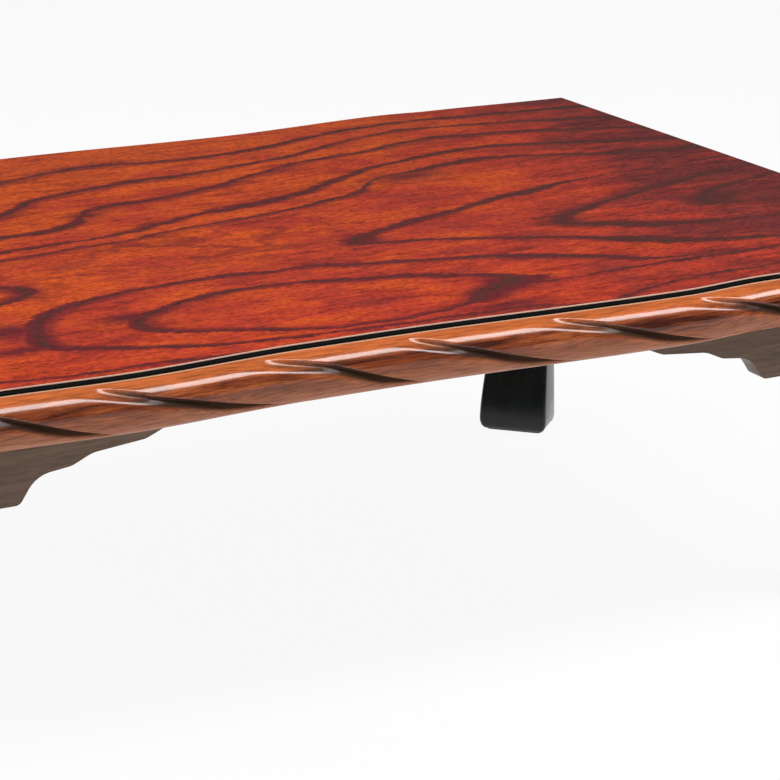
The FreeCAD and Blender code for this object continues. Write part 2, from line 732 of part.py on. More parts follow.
bolts = []
washers = []
nuts = []
for corner, (sign_x, sign_y) in CORNER_SIGNS.items():
    spot = ("%d * %s" % (sign_x, FRAME_X), "%d * %s" % (sign_y, FRAME_Y))
    turn = CORNER_TURN[corner]
    inward = V(-sign_x, -sign_y, 0).normalize()
    axis = V(sign_x * frame_x, sign_y * frame_y, bolt_level)
    bolts.append(rod(bolt_radius, axis + inward * bolt_start, inward, bolt_end - bolt_start))
    bore_start = axis + inward * (bolt_start - fastener_gap)
    bore = rod(bolt_radius + fastener_gap, bore_start, inward, bolt_end - bolt_start)
    seat = axis + inward * washer_start
    disc = rod(number("Sizes.washer_radius"), seat, inward, washer_thickness)
    washers.append(disc.cut(bore))
    six = doc.addObject("Part::RegularPolygon", "nut_outline_" + corner)
    six.Polygon = 6
    six.setExpression("Circumradius", "Sizes.nut_across_corners / 2")
    doc.recompute()
    hexagon = Part.Face(Part.Wire(six.Shape.Edges)).extrude(UP * nut_thickness)
    nut_seat = seat + inward * washer_thickness
    hexagon.Placement = FreeCAD.Placement(nut_seat, FreeCAD.Rotation(UP, inward))
    nuts.append(hexagon.cut(bore))

    body = new_body("leg_%s_body" % corner)
    sketches = []
    for index, section in enumerate(LEG_SECTIONS):
        sketches.append(leg_section(body, "%s_section_%d" % (body.Name, index), *section))
    loft = body.newObject("PartDesign::AdditiveLoft", body.Name + "_loft")
    loft.Profile = sketches[0]
    loft.Sections = sketches[1:]
    pad(body, leg_section(body, body.Name + "_neck", *LEG_SECTIONS[-1]), "Sizes.leg_neck_drop")
    place(body, *spot, "0", turn)
    keep_drilled("leg_" + corner, body, [bore])

    body = new_body("corner_brace_%s_body" % corner)
    front = "(%s - Sizes.rail_thickness * sqrt(2))" % BRACE_FRONT
    rear = "(%s - Sizes.rail_thickness * sqrt(2))" % BRACE_REAR
    corners = (
        ("-" + rear, "-" + BRACE_REAR),
        (rear, "-" + BRACE_REAR),
        (front, "-" + BRACE_FRONT),
        ("-" + front, "-" + BRACE_FRONT),
    )
    sketch = outline(body, body.Name + "_plan", "XY_Plane", corners)
    pad(body, sketch, "Sizes.brace_height")
    place(body, *spot, "%s - Sizes.brace_height" % UNDER_TOP, turn)
    keep_drilled("corner_brace_" + corner, body, [bore] + brace_screw_bores[corner])

    body = new_body("foot_pad_" + corner)
    side = "(Sizes.leg_foot_width / 2 - Sizes.pad_inset)"
    outside = "-(Sizes.leg_foot_out + Sizes.pad_inset)"
    inside = "-(Sizes.leg_foot_out + Sizes.leg_foot_depth - Sizes.pad_inset)"
    corners = rounded("-" + side, side, inside, outside, "Sizes.pad_round")
    sketch = outline(body, body.Name + "_plan", "XY_Plane", corners)
    pad(body, sketch, "Sizes.pad_thickness")
    place(body, *spot, "0", turn)
    keep(body.Label, body)
keep_shape("hanger_bolts", Part.makeCompound(bolts))
keep_shape("bolt_washers", Part.makeCompound(washers))
keep_shape("bolt_nuts", Part.makeCompound(nuts))

# Battens: two bars across the underside, thinned towards their ends
BATTEN_HALF = "(%s - Sizes.rail_thickness - Sizes.batten_end_gap)" % FRAME_Y
for name, sign in (("left", "-"), ("right", "")):
    body = new_body("batten_%s_body" % name)
    shoulder = "(%s - Sizes.batten_end_slope)" % BATTEN_HALF
    thin = "(Sizes.batten_height - Sizes.batten_end_height)"
    corners = (
        ("-" + shoulder, "0"),
        (shoulder, "0"),
        (BATTEN_HALF, thin),
        (BATTEN_HALF, "Sizes.batten_height"),
        ("-" + BATTEN_HALF, "Sizes.batten_height"),
        ("-" + BATTEN_HALF, thin),
    )
    sketch = outline(body, body.Name + "_side", "YZ_Plane", corners)
    pad(body, sketch, "Sizes.batten_width")
    middle = "%sSizes.batten_place - Sizes.batten_width / 2" % sign
    place(body, middle, "0", "%s - Sizes.batten_height" % UNDER_TOP, 0)
    bores = [screw_bore(batten_screw_length, tip, UP, 0) for tip in batten_screw_tips[name]]
    keep_drilled("batten_" + name, body, bores)

doc.recompute()
for item in doc.Objects:
    if "Invalid" in item.State or "Error" in item.State:
        raise RuntimeError("%s did not build: %s" % (item.Name, item.State))
for label, piece in pieces.items():
    shape = piece.Shape
    if shape.isNull() or not shape.isValid() or not shape.Solids or shape.Volume <= 0:
        raise RuntimeError("%s has no valid shape" % label)
os.makedirs("parts", exist_ok=True)
for label, piece in pieces.items():
    piece.Shape.exportStep("parts/%s.step" % label)
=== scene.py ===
import math
import bpy
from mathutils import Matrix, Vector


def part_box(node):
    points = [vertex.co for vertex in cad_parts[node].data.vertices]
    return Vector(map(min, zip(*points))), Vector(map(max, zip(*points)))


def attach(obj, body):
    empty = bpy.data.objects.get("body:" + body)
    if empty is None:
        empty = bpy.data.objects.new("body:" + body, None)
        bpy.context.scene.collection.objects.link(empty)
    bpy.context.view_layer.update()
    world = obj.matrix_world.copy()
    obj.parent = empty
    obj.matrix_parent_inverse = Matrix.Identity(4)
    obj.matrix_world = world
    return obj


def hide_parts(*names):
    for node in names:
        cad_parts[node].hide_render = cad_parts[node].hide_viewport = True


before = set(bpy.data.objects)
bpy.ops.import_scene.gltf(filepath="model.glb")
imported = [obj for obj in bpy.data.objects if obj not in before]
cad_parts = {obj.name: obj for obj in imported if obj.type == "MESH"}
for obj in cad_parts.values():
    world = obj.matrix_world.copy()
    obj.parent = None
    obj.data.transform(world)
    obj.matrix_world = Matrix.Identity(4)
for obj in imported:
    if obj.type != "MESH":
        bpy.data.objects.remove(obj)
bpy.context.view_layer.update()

# The camera stands to the left of the table, a little above it, and looks along the front
# edge through a long lens, as the photographer did.
CAMERA_PLACE = (-0.996, -2.136, 0.924)
CAMERA_PITCH = math.radians(72.38)
CAMERA_YAW = math.radians(-27.95)
CAMERA_LENS = 128.9

bpy.ops.object.camera_add(location=CAMERA_PLACE, rotation=(CAMERA_PITCH, 0, CAMERA_YAW))
camera = bpy.context.object
camera.name = "photo_camera"
camera.data.lens = CAMERA_LENS
bpy.context.scene.camera = camera
bpy.context.scene.view_settings.view_transform = "Standard"

# The legs are sawn from solid wood, stained almost black and lacquered, and bolted into the
# corners of the frame. Their edges are eased by hand with sandpaper before the stain goes on,
# and the foot is rounded in just above its felt pad.
LEG_LIGHT = (0.018, 0.025, 0.022, 1)
LEG_DARK = (0.009, 0.014, 0.013, 1)
LACQUER = {
    "Coat_Weight": 0.15,
    "Coat_Roughness": 0.25,
    "Coat_IOR": 1.33,
    "Specular_IOR_Level": 0.1,
}
LEG_LACQUER = {**LACQUER, "Coat_Weight": 1.0, "Coat_IOR": 1.34}
GRAIN_ALONG = {"x": (0.06, 1, 1), "y": (1, 0.06, 1), "z": (1, 1, 0.06)}
FIBRE_DEPTH = 0.00015
WOOD_ROUGHNESS = 0.3
BAND_ROUGHNESS = 0.18
CORNERS = ("front_left", "front_right", "back_left", "back_right")
LEG_EASE = 0.005
FOOT_ROUND = 0.012
FOOT_INSET = 0.16
EASE_STEPS = 3
EDGE_ANGLE = math.radians(40)
FLAT_ANGLE = math.radians(0.5)
MERGE_REACH = 0.00001


def new_material(name, **sockets):
    """A material with its constants set on the shader's own sockets."""
    material = bpy.data.materials.new(name)
    material.use_nodes = True
    surface = material.node_tree.nodes["Principled BSDF"]
    for socket, value in sockets.items():
        surface.inputs[socket.replace("_", " ")].default_value = value
    return material


def add_node(material, kind, sockets, **settings):
    """A node with its settings, and its inputs linked or set."""
    node = material.node_tree.nodes.new(kind)
    for name, value in settings.items():
        setattr(node, name, value)
    for socket, value in sockets.items():
        if isinstance(value, bpy.types.NodeSocket):
            material.node_tree.links.new(value, node.inputs[socket])
        else:
            node.inputs[socket].default_value = value
    return node


def calculate(material, operation, *values, clamp=False):
    """A number worked out from other numbers."""
    sockets = dict(enumerate(values))
    node = add_node(material, "ShaderNodeMath", sockets, operation=operation, use_clamp=clamp)
    return node.outputs[0]


def place_on_piece(material, stretch=(1, 1, 1), shift=(0, 0, 0)):
    """Places on the piece in metres, stretched and shifted for a pattern."""
    place = add_node(material, "ShaderNodeTexCoord", {}).outputs["Object"]
    sockets = {"Vector": place, "Location": shift, "Scale": stretch}
    return add_node(material, "ShaderNodeMapping", sockets).outputs[0]


def noise(material, place, scale, detail=2.0, roughness=0.5, distortion=0.0):
    """A cloudy pattern of that many lumps to the metre."""
    sockets = {
        "Vector": place,
        "Scale": scale,
        "Detail": detail,
        "Roughness": roughness,
        "Distortion": distortion,
    }
    return add_node(material, "ShaderNodeTexNoise", sockets).outputs["Fac"]


def grey(level):
    """A colour without hue."""
    return (level, level, level, 1)


def ramp(material, factor, stops, ease="LINEAR"):
    """A colour that changes with a factor, through (place, colour) stops."""
    node = add_node(material, "ShaderNodeValToRGB", {"Fac": factor})
    node.color_ramp.interpolation = ease
    elements = node.color_ramp.elements
    while len(elements) < len(stops):
        elements.new(0.5)
    for element, (place, colour) in zip(elements, stops):
        element.position = place
        element.color = colour
    return node.outputs["Color"]


def level_ramp(material, factor, stops, ease="LINEAR"):
    """A number that changes with a factor, through (place, number) stops."""
    return ramp(material, factor, [(place, grey(level)) for place, level in stops], ease)


def mix(material, factor, first, second, blend="MIX"):
    """A blend of two colours."""
    sockets = {0: factor, 6: first, 7: second}
    node = add_node(material, "ShaderNodeMix", sockets, data_type="RGBA", blend_type=blend)
    return node.outputs[2]


def finish_surface(material, colour, height, depth, roughness=None):
    """Joins a colour, a relief of that depth in metres and a roughness to the shader."""
    surface = material.node_tree.nodes["Principled BSDF"]
    links = material.node_tree.links
    links.new(colour, surface.inputs["Base Color"])
    bump = add_node(material, "ShaderNodeBump", {"Height": height, "Distance": depth})
    links.new(bump.outputs[0], surface.inputs["Normal"])
    if roughness:
        links.new(roughness, surface.inputs["Roughness"])


def grained_wood(name, along, light, dark, pores, **sockets):
    """Straight-grained wood whose grain runs along one axis, and whose pores are darker."""
    material = new_material(name, **sockets)
    place = place_on_piece(material, GRAIN_ALONG[along])
    bands = noise(material, place, scale=60, detail=5, roughness=0.6, distortion=0.4)
    fibres = noise(material, place, scale=700, detail=3, roughness=0.7)
    tone = ramp(material, bands, ((0.3, dark), (0.68, light)), "EASE")
    streak = level_ramp(material, fibres, ((0.36, pores), (0.52, 1)))
    colour = mix(material, 1.0, tone, streak, "MULTIPLY")
    gloss = calculate(material, "MULTIPLY_ADD", bands, BAND_ROUGHNESS, WOOD_ROUGHNESS)
    finish_surface(material, colour, fibres, FIBRE_DEPTH, gloss)
    return material


def modify(piece, kind, **settings):
    """Adds a modifier and applies it."""
    modifier = piece.modifiers.new(kind.lower(), kind)
    for name, value in settings.items():
        setattr(modifier, name, value)
    bpy.context.view_layer.objects.active = piece
    bpy.ops.object.modifier_apply(modifier=modifier.name)


def pick(piece):
    """Selects one piece alone and makes it the active one."""
    bpy.ops.object.select_all(action="DESELECT")
    piece.select_set(True)
    bpy.context.view_layer.objects.active = piece


def settle(piece, name, material, node):
    """Names a finished piece, rides it on the table and puts it in the place of its node."""
    pick(piece)
    bpy.ops.object.transform_apply(location=True, rotation=True, scale=True)
    piece.name = name
    piece.data.name = name
    piece.data.materials.clear()
    piece.data.materials.append(material)
    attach(piece, "root")
    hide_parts(node)


def eased_copy(node, width):
    """A copy of a CAD node, cleaned up, with its edges rounded over."""
    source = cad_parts[node]
    piece = source.copy()
    piece.data = source.data.copy()
    bpy.context.scene.collection.objects.link(piece)
    pick(piece)
    bpy.ops.object.mode_set(mode="EDIT")
    bpy.ops.mesh.select_all(action="SELECT")
    bpy.ops.mesh.remove_doubles(threshold=MERGE_REACH)
    bpy.ops.mesh.dissolve_limited(angle_limit=FLAT_ANGLE)
    bpy.ops.object.mode_set(mode="OBJECT")
    modify(
        piece,
        "BEVEL",
        width=width,
        segments=EASE_STEPS,
        limit_method="ANGLE",
        angle_limit=EDGE_ANGLE,
    )
    bpy.ops.object.shade_smooth_by_angle(angle=EDGE_ANGLE)
    return piece


leg_wood = grained_wood("leg_wood", "z", LEG_LIGHT, LEG_DARK, pores=0.72, **LEG_LACQUER)
for corner in CORNERS:
    leg = eased_copy("leg_" + corner, LEG_EASE)
    pad_low, pad_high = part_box("foot_pad_" + corner)
    middle = (pad_low + pad_high) / 2
    for vertex in leg.data.vertices:
        rise = (vertex.co.z - pad_high.z) / FOOT_ROUND
        if rise < 1:
            narrow = 1 - FOOT_INSET * (1 - math.sqrt(1 - (1 - max(rise, 0)) ** 2))
            vertex.co.x = middle.x + (vertex.co.x - middle.x) * narrow
            vertex.co.y = middle.y + (vertex.co.y - middle.y) * narrow
    settle(leg, "eased_leg_" + corner, leg_wood, "leg_" + corner)

# The aprons are rails mitred to the sides of the legs, and the cloud brackets under them are
# sawn to shape and dowelled up into the rails. Both are solid wood with the grain along the
# rail, under a brown stain and a thin satin lacquer.
STAIN_LIGHT = (0.228, 0.155, 0.113, 1)
STAIN_DARK = (0.143, 0.095, 0.068, 1)
FRAME_EASE = 0.0015
FRAME_PIECES = {
    "x": ("apron_front", "apron_back", *("bracket_" + corner for corner in CORNERS)),
    "y": (
        "apron_left",
        "apron_right",
        "bracket_left_front",
        "bracket_left_back",
        "bracket_right_front",
        "bracket_right_back",
    ),
}

stained_wood = {}
for along, nodes in FRAME_PIECES.items():
    name = "stained_wood_" + along
    stained_wood[along] = grained_wood(name, along, STAIN_LIGHT, STAIN_DARK, pores=0.72, **LACQUER)
    for node in nodes:
        piece = eased_copy(node, FRAME_EASE)
        settle(piece, "eased_" + node, stained_wood[along], node)

# Braces, battens, tongues and dowels are sawn softwood with one thin coat of brown stain,
# screwed or glued in place out of sight under the top.
SAWN_LIGHT = (0.36, 0.22, 0.12, 1)
SAWN_DARK = (0.21, 0.12, 0.06, 1)
LONG_SIDES = ("front", "back")
SHORT_ENDS = ("left", "right")


def paint(material, *nodes):
    """Gives a material to CAD nodes."""
    for node in nodes:
        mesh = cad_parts[node].data
        mesh.materials.clear()
        mesh.materials.append(material)


sawn_wood = {
    along: grained_wood("sawn_wood_" + along, along, SAWN_LIGHT, SAWN_DARK, pores=0.6)
    for along in "xy"
}
paint(sawn_wood["x"], "bracket_dowels")
paint(sawn_wood["x"], *("corner_brace_" + corner for corner in CORNERS))
paint(sawn_wood["x"], *("edge_tongue_" + side for side in LONG_SIDES))
paint(sawn_wood["y"], *("batten_" + end for end in SHORT_ENDS))

# Bolts, washers, nuts and screws are zinc plated steel, dull and a little cloudy from the
# plating bath. They draw the legs to the braces and hold the top to the frame.
ZINC_DULL = (0.45, 0.45, 0.42, 1)
ZINC_BRIGHT = (0.66, 0.66, 0.62, 1)
ZINC_DEPTH = 0.00002
ZINC_ROUGHNESS = 0.2
CLOUD_ROUGHNESS = 0.3

zinc = new_material("zinc_plate", Metallic=1.0)
zinc_cloud = noise(zinc, place_on_piece(zinc), scale=260, detail=4)
zinc_colour = ramp(zinc, zinc_cloud, ((0.3, ZINC_DULL), (0.7, ZINC_BRIGHT)))
zinc_gloss = calculate(zinc, "MULTIPLY_ADD", zinc_cloud, CLOUD_ROUGHNESS, ZINC_ROUGHNESS)
finish_surface(zinc, zinc_colour, zinc_cloud, ZINC_DEPTH, zinc_gloss)
paint(zinc, "hanger_bolts", "bolt_washers", "bolt_nuts")
paint(zinc, "brace_screws", "rail_screws", "batten_screws")

# Pads of pressed wool felt are glued under the feet, so that the table slides on a floor of
# straw mats without marking it.
FELT_DARK = (0.05, 0.035, 0.028, 1)
FELT_LIGHT = (0.13, 0.1, 0.085, 1)
FELT_EASE = 0.0007
FELT_DEPTH = 0.0008

felt = new_material("felt", Roughness=1.0)
felt_fuzz = noise(felt, place_on_piece(felt), scale=900, detail=4, roughness=0.8)
felt_colour = ramp(felt, felt_fuzz, ((0.3, FELT_DARK), (0.7, FELT_LIGHT)))
finish_surface(felt, felt_colour, felt_fuzz, FELT_DEPTH)
for corner in CORNERS:
    pad = eased_copy("foot_pad_" + corner, FELT_EASE)
    settle(pad, "felt_pad_" + corner, felt, "foot_pad_" + corner)

# The core board is sealed with black stain, because its edge shows beside the black line. The
# backing is a plain brown sheet glued under it, and strips of the frame's stained wood below
# the backing thicken the rim.
BLACK_STAIN = (0.004, 0.006, 0.006, 1)
BACKING_LIGHT = (0.2, 0.115, 0.065, 1)
BACKING_DARK = (0.13, 0.07, 0.04, 1)

core_stain = grained_wood("core_stain", "x", BLACK_STAIN, BLACK_STAIN, pores=0.8)
paint(core_stain, "top_core")
backing = grained_wood("backing_sheet", "x", BACKING_LIGHT, BACKING_DARK, pores=0.8)
paint(backing, "backing_sheet")
paint(stained_wood["x"], *("edge_buildup_" + side for side in LONG_SIDES))
paint(stained_wood["y"], *("edge_buildup_" + end for end in SHORT_ENDS))

# The black line is a thin strip of black stained wood, glued in between the top and the rope
# and sunk a few millimetres below them.
LINE_BLACK = (0.002, 0.003, 0.003, 1)

black_line = grained_wood("black_line", "x", BLACK_STAIN, LINE_BLACK, pores=0.6)
paint(black_line, *("inlay_line_" + side for side in LONG_SIDES))

# The top is a figured veneer with long hearts and arches of dark late wood, glued to the core,
# stained red-orange and lacquered. Its long edges swing in and out a little, and its rim is
# rounded over, with a pale highlight painted along the arris and stained black below.
FRONT_WAVE = (
    (-0.368, -0.0006),
    (-0.262, 0.0037),
    (-0.12, -0.0048),
    (-0.055, -0.0048),
    (0.217, 0.0055),
    (0.298, -0.0014),
)
BACK_WAVE = ((-0.074, 0.0032), (0.127, -0.0046), (0.316, 0.0101), (0.368, 0.006))
EDGE_WAVES = {"front": FRONT_WAVE, "back": BACK_WAVE}
TOP_SIDE = 0.344
RIM_ROUND = 0.001
RIM_STEPS = 6
RIM_ANGLE = math.radians(60)
SHEET_STATIONS = 200
SHEET_ROWS = 4
veneer_low, veneer_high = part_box("top_veneer")
top_end = veneer_high.x


def held(value):
    """A number held between 0 and 1."""
    return min(max(value, 0), 1)


def smooth(share):
    """A way from 0 to 1 that starts and ends level."""
    return share * share * (3 - 2 * share)


def edge_out(side, x):
    """How far the arris of a long edge is from the table's middle line."""
    points = ((-top_end, 0), *EDGE_WAVES[side], (top_end, 0))
    for (start, low), (end, high) in zip(points, points[1:]):
        if x <= end:
            return TOP_SIDE + low + (high - low) * smooth(held((x - start) / (end - start)))
    return TOP_SIDE


bpy.ops.object.select_all(action="DESELECT")
bpy.ops.mesh.primitive_grid_add(x_subdivisions=SHEET_STATIONS, y_subdivisions=SHEET_ROWS, size=1)
veneer_sheet = bpy.context.object
for vertex in veneer_sheet.data.vertices:
    x = 2 * top_end * vertex.co.x
    share = vertex.co.y + 0.5
    y = -edge_out("front", x) * (1 - share) + edge_out("back", x) * share
    vertex.co = (x, y, veneer_high.z)
modify(veneer_sheet, "SOLIDIFY", thickness=veneer_high.z - veneer_low.z, offset=-1)
modify(
    veneer_sheet,
    "BEVEL",
    width=RIM_ROUND,
    segments=RIM_STEPS,
    limit_method="ANGLE",
    angle_limit=RIM_ANGLE,
)
bpy.ops.object.shade_smooth_by_angle(angle=EDGE_ANGLE)

rim = veneer_sheet.data.attributes.new("rim", "FLOAT", "POINT")
for vertex in veneer_sheet.data.vertices:
    rim.data[vertex.index].value = held((veneer_high.z - vertex.co.z) / (2 * RIM_ROUND))

# Dark grain lines of the figure, in metres: the back and front ones run along the table, each
# arch opens towards one end of it, and the rings of the eye go by the turn round its middle.
BACK_LINES = (
    ((-0.55, -0.03), (-0.225, -0.009), (-0.05, 0.018), (0.106, 0.051), (0.143, 0.069), (0.18, 0.106),
     (0.225, 0.118), (0.31, 0.134), (0.373, 0.115), (0.446, 0.092), (0.55, 0.078)),
    ((-0.55, 0.0), (-0.216, 0.014), (-0.115, 0.023), (-0.041, 0.051), (0.041, 0.069), (0.097, 0.087),
     (0.17, 0.133), (0.281, 0.17), (0.336, 0.173), (0.446, 0.143), (0.55, 0.11)),
    ((-0.55, 0.04), (-0.212, 0.06), (-0.161, 0.064), (-0.124, 0.083), (-0.108, 0.112), (-0.032, 0.129),
     (0.023, 0.143), (0.115, 0.189), (0.235, 0.216), (0.315, 0.235), (0.428, 0.212), (0.55, 0.17)),
    ((-0.55, 0.1), (-0.25, 0.108), (-0.17, 0.138), (-0.143, 0.166), (-0.087, 0.189), (0.06, 0.207),
     (0.17, 0.235), (0.253, 0.271), (0.299, 0.281), (0.4, 0.265), (0.55, 0.23)),
    ((-0.55, 0.18), (-0.3, 0.19), (-0.2, 0.222), (-0.087, 0.267), (-0.032, 0.278), (0.041, 0.262),
     (0.115, 0.267), (0.225, 0.299), (0.3, 0.312), (0.55, 0.29)),
)
RIGHT_ARCHES = (
    ((-0.4, 0.59), (-0.262, 0.5), (-0.239, 0.363), (-0.202, 0.271), (-0.17, 0.235), (-0.124, 0.133),
     (-0.108, 0.08), (-0.097, 0.051), (-0.082, 0.057), (-0.055, 0.115), (-0.018, 0.225), (0.014, 0.317),
     (0.03, 0.483), (0.06, 0.59)),
    ((-0.4, 0.64), (-0.19, 0.56), (-0.179, 0.373), (-0.152, 0.29), (-0.129, 0.256), (-0.115, 0.244),
     (-0.092, 0.271), (-0.055, 0.363), (-0.018, 0.465), (0.0, 0.56), (0.06, 0.64)),
    ((-0.4, 0.69), (-0.14, 0.6), (-0.13, 0.45), (-0.122, 0.408), (-0.106, 0.4), (-0.085, 0.42),
     (-0.055, 0.483), (-0.03, 0.6), (0.06, 0.69)),
)
LEFT_ARCHES = (
    ((-0.4, -0.69), (-0.15, -0.6), (-0.125, -0.4), (-0.11, -0.375), (-0.095, -0.4), (-0.07, -0.6),
     (0.06, -0.69)),
    ((-0.4, -0.64), (-0.18, -0.56), (-0.15, -0.36), (-0.13, -0.267), (-0.11, -0.248), (-0.09, -0.262),
     (-0.07, -0.34), (-0.045, -0.56), (0.06, -0.64)),
)
EYE_RINGS = (
    ((-180, 1.02), (-157, 0.99), (-148, 0.95), (-123, 1.02), (-104, 1.2), (-90, 1.36), (-68, 1.3),
     (-33, 1.01), (-12, 1.06), (5, 1.02), (34, 0.88), (79, 0.97), (108, 1.17), (119, 1.11), (137, 1.05),
     (161, 1.03), (180, 1.02)),
    ((-180, 1.55), (-165, 1.57), (-154, 1.5), (-125, 1.47), (-100, 1.5), (-80, 1.58), (-62, 1.85),
     (-48, 3.2), (-14, 3.4), (-10, 2.75), (-6, 2.0), (11, 1.73), (35, 1.6), (60, 1.6), (90, 1.82),
     (108, 1.95), (125, 1.91), (142, 1.75), (156, 1.62), (172, 1.54), (180, 1.55)),
)
FRONT_LINES = (
    ((-0.55, -0.285), (-0.354, -0.327), (-0.253, -0.336), (-0.12, -0.35), (0.05, -0.39), (0.17, -0.342),
     (0.235, -0.322), (0.317, -0.317), (0.55, -0.3)),
    ((0.078, -0.59), (0.083, -0.27), (0.15, -0.276), (0.25, -0.271), (0.33, -0.271), (0.55, -0.255)),
)
# Ovals of the figure, each as its place along and across, half length and half width: the eye,
# the patch of burr beside it, and the blots where a grain line thickens
EYE = (-0.051, -0.244, 0.152, 0.055)
BURR = (-0.07, -0.045, 0.15, 0.06)
BLOTS = (
    (-0.112, 0.1, 0.016, 0.014),
    (0.205, 0.1, 0.04, 0.017),
    (-0.04, 0.276, 0.045, 0.009),
    (0.097, -0.262, 0.014, 0.02),
    (-0.25, -0.11, 0.016, 0.02),
    (0.065, -0.088, 0.022, 0.018),
    (0.252, -0.11, 0.022, 0.018),
    (0.42, -0.1, 0.03, 0.022),
    (0.07, -0.32, 0.03, 0.008),
    (-0.3, -0.212, 0.026, 0.02),
    (-0.31, -0.262, 0.03, 0.01),
    (-0.205, -0.217, 0.024, 0.014),
)
# Reach of the curves along and across, and of the eye's rings in degrees and eye sizes
LINE_REACH = 1.2
EYE_REACH = 360
EYE_HEIGHT = 3
# How soon the dark fades beyond the outer lines of a group
BACK_RIM = 0.06
ARCH_RIM = 0.09
EYE_RIM = 0.7
FRONT_RIM = 0.024
NEARLY_HALF = 0.49
# How far the lines wander, shiver and fray sideways, in metres
WANDER = 0.022
SHIVER = 0.014
RAGGED = 0.008
# The dark across one growth ring, from one side of its grain line at 0.5 to the other
HALO_PROFILE = ((0.27, 0), (0.41, 0.6), (0.5, 1.1), (0.57, 1), (0.66, 0))
LINE_PROFILE = ((0.45, 0), (0.5, 1), (0.53, 0.9), (0.57, 0))
FINE_RINGS = 44
FINE_DARK = 0.1
BURR_RIPPLES = 26
# How strong the dark is: its least, how much it comes and goes, and its loss towards the back
DARK_LEAST = 0.36
DARK_CHANGE = 1.2
DARK_BACK = -0.5
HALO_LEAST = 0.3
HALO_CHANGE = 1.6
VENEER_ORANGE = (0.55, 0.073, 0.008, 1)
VENEER_RED = (0.41, 0.036, 0.016, 1)
VENEER_DUSK = (0.15, 0.02, 0.019, 1)
VENEER_LATE = (0.115, 0.011, 0.014, 1)
VENEER_LINE = (0.05, 0.02, 0.013, 1)
# Colour of the highlight painted along the rounded arris of the rim
VENEER_PAINTED_HIGHLIGHT = (0.5, 0.33, 0.26, 1)
# Painted shade darkens the top towards the right end and the front and lightens it towards
# the back, where the lamps fall off; the cloud is the stain's own unevenness
PAINTED_DUSK = {"From Min": 0.25, "From Max": 0.52, "To Min": 0.0, "To Max": 0.55}
PAINTED_SHADE_ALONG = 0.35
PAINTED_SHADE_ACROSS = -0.7
SHADE_CLOUD = 1.6
SHADE_LEVEL = 0.49
LATE_ALONG = 1.6
LATE_START = -0.1
WISP_TONES = ((0.34, (0.62, 0.55, 0.66, 1)), (0.5, grey(1)), (0.68, (1.12, 1.25, 1.0, 1)))
GRAIN_TONES = ((0.36, (0.7, 0.64, 0.68, 1)), (0.5, grey(1)), (0.64, (1.16, 1.2, 1.1, 1)))
PORE_TONES = ((0.4, (0.6, 0.52, 0.55, 1)), (0.5, grey(1.04)))
PORE_DEPTH = 0.00005

veneer = new_material("figured_veneer", Roughness=0.33, Specular_IOR_Level=0.22)
spot = add_node(veneer, "ShaderNodeSeparateXYZ", {0: place_on_piece(veneer)}).outputs
wander_place = place_on_piece(veneer, (0.4, 1, 0), (3, 1, 0))
wander = noise(veneer, wander_place, scale=38, detail=3, roughness=0.6)
shiver_place = place_on_piece(veneer, (0.3, 1, 0), (7, 2, 0))
shiver = noise(veneer, shiver_place, scale=240, detail=3, roughness=0.7)
ragged_place = place_on_piece(veneer, (0.45, 1, 0), (4, 9, 0))
ragged = noise(veneer, ragged_place, scale=560, detail=2, roughness=0.7)
along = spot["X"]
across = calculate(veneer, "MULTIPLY_ADD", wander, WANDER, spot["Y"])
across = calculate(veneer, "MULTIPLY_ADD", shiver, SHIVER, across)
across = calculate(veneer, "MULTIPLY_ADD", ragged, RAGGED, across)
across = calculate(veneer, "SUBTRACT", across, (WANDER + SHIVER + RAGGED) / 2)


def grain_line(material, place, points, reach, height):
    """Where a grain line runs: a smooth curve through its points."""
    share = calculate(material, "MULTIPLY_ADD", place, 1 / reach, 0.5)
    node = add_node(material, "ShaderNodeFloatCurve", {"Value": share})
    curve = node.mapping.curves[0]
    while len(curve.points) < len(points):
        curve.points.new(0.5, 0.5)
    for point, (start, rise) in zip(curve.points, points):
        point.location = (start / reach + 0.5, rise / (2 * height) + 0.5)
        point.handle_type = "AUTO_CLAMPED"
    node.mapping.update()
    return calculate(material, "MULTIPLY_ADD", node.outputs[0], 2 * height, -height)


def ring_count(material, place, run, group, fade, reach=LINE_REACH, height=LINE_REACH):
    """Rings passed on the way across a group of grain lines that run the other way: whole on
    each line, and never whole again beyond the first and the last."""
    lines = [grain_line(material, run, points, reach, height) for points in group]
    total = calculate(material, "DIVIDE", calculate(material, "SUBTRACT", place, lines[0]), fade)
    total = calculate(material, "MAXIMUM", calculate(material, "MINIMUM", total, 0), -NEARLY_HALF)
    for near, far in zip(lines, lines[1:]):
        gap = calculate(material, "SUBTRACT", far, near)
        passed = calculate(material, "SUBTRACT", place, near)
        share = calculate(material, "DIVIDE", passed, gap, clamp=True)
        total = calculate(material, "ADD", total, share)
    beyond = calculate(material, "DIVIDE", calculate(material, "SUBTRACT", place, lines[-1]), fade)
    beyond = calculate(material, "MINIMUM", calculate(material, "MAXIMUM", beyond, 0), NEARLY_HALF)
    return calculate(material, "ADD", total, beyond)


def from_oval(material, x, y, length, width):
    """Places counted from an oval's middle in its half sizes: along, across, and the square of
    the way out."""
    oval_along = calculate(material, "MULTIPLY_ADD", along, 1 / length, -x / length)
    oval_across = calculate(material, "MULTIPLY_ADD", across, 1 / width, -y / width)
    square = calculate(material, "MULTIPLY", oval_along, oval_along)
    square = calculate(material, "MULTIPLY_ADD", oval_across, oval_across, square)
    return oval_along, oval_across, square


def soft_oval(material, oval):
    """A patch that is 1 in an oval's middle and fades away round it."""
    square = from_oval(material, *oval)[2]
    return calculate(material, "EXPONENT", calculate(material, "MULTIPLY", square, -1))


